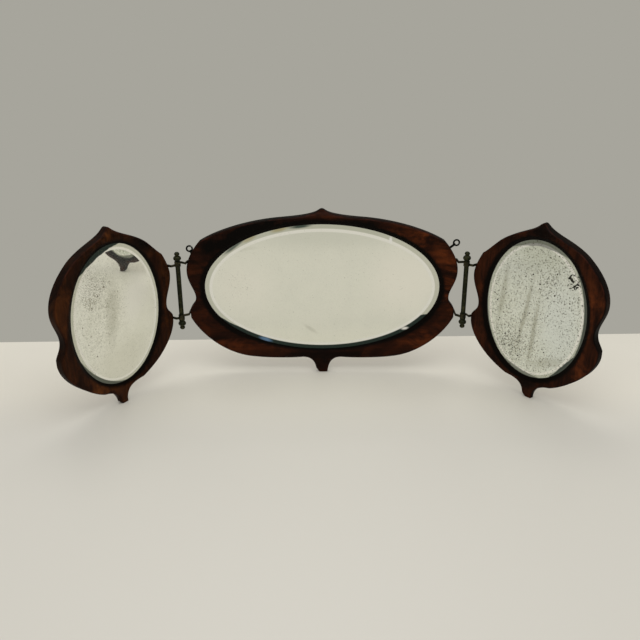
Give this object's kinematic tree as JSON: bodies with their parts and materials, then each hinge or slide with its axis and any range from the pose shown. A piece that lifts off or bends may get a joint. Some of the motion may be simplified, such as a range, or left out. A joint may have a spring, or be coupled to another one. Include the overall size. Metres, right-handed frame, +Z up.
{
  "type": "shaving mirror",
  "caption": "Three-fold standing shaving mirror: a wide shaped wooden board and narrower wings, each with an oval bevelled glass, folding on brass pillar hinges, with small hanging rings.",
  "frame": {"origin": "on the table, under the middle of the centre board's foot and of its thickness", "axes": "+X to the right along the centre board, +Y away from the person who looks in, +Z up"},
  "size_m": [0.731, 0.198, 0.261],
  "materials": {
    "mahogany": "dark red-brown french polish, worn at the edges",
    "silvered_glass": "polished plate glass, ground bevel, foxed silvering",
    "packing_card": "plain card",
    "back_board": "unpolished softwood, darkened",
    "steel_pin": "darkened",
    "aged_brass": "aged dark olive brown"
  },
  "bodies": {
    "centre": {"centre_frame": "mahogany", "centre_glass": "silvered_glass", "centre_packing": "packing_card", "centre_back_panel": "back_board", "centre_panel_pins": "steel_pin", "centre_left_upper_strap": "aged_brass", "centre_left_lower_strap": "aged_brass", "centre_right_upper_strap": "aged_brass", "centre_right_lower_strap": "aged_brass", "centre_left_strap_screws": "aged_brass", "centre_right_strap_screws": "aged_brass", "left_pillar_pin": "aged_brass", "left_pillar_tube": "aged_brass", "left_pillar_washers": "aged_brass", "left_top_finial": "aged_brass", "left_bottom_finial": "aged_brass", "right_pillar_pin": "aged_brass", "right_pillar_tube": "aged_brass", "right_pillar_washers": "aged_brass", "right_top_finial": "aged_brass", "right_bottom_finial": "aged_brass", "left_hanger": "aged_brass", "left_hanger_screw": "aged_brass", "right_hanger": "aged_brass", "right_hanger_screw": "aged_brass"},
    "left_wing": {"left_frame": "mahogany", "left_glass": "silvered_glass", "left_packing": "packing_card", "left_back_panel": "back_board", "left_panel_pins": "steel_pin", "left_upper_strap": "aged_brass", "left_lower_strap": "aged_brass", "left_strap_screws": "aged_brass"},
    "right_wing": {"right_frame": "mahogany", "right_glass": "silvered_glass", "right_packing": "packing_card", "right_back_panel": "back_board", "right_panel_pins": "steel_pin", "right_upper_strap": "aged_brass", "right_lower_strap": "aged_brass", "right_strap_screws": "aged_brass"},
    "left_ring": {"left_ring": "aged_brass"},
    "right_ring": {"right_ring": "aged_brass"}
  },
  "joints": [
    {"name": "left_wing_hinge", "type": "hinge", "parent": "centre", "child": "left_wing", "pos_m": [-0.2142, -0.016, 0], "axis": [0, 0, 1], "range_deg": [-76.2, 123.8]},
    {"name": "right_wing_hinge", "type": "hinge", "parent": "centre", "child": "right_wing", "pos_m": [0.2142, -0.016, 0], "axis": [0, 0, -1], "range_deg": [-65.5, 134.5]},
    {"name": "left_ring_swing", "type": "hinge", "parent": "centre", "child": "left_ring", "pos_m": [-0.19797, 0.00895, 0.19439], "axis": [-0.9063, 0, -0.4226], "range_deg": [0, 150]},
    {"name": "right_ring_swing", "type": "hinge", "parent": "centre", "child": "right_ring", "pos_m": [0.19829, 0.00895, 0.20442], "axis": [-0.6018, 0, 0.7986], "range_deg": [0, 150]}
  ]
}
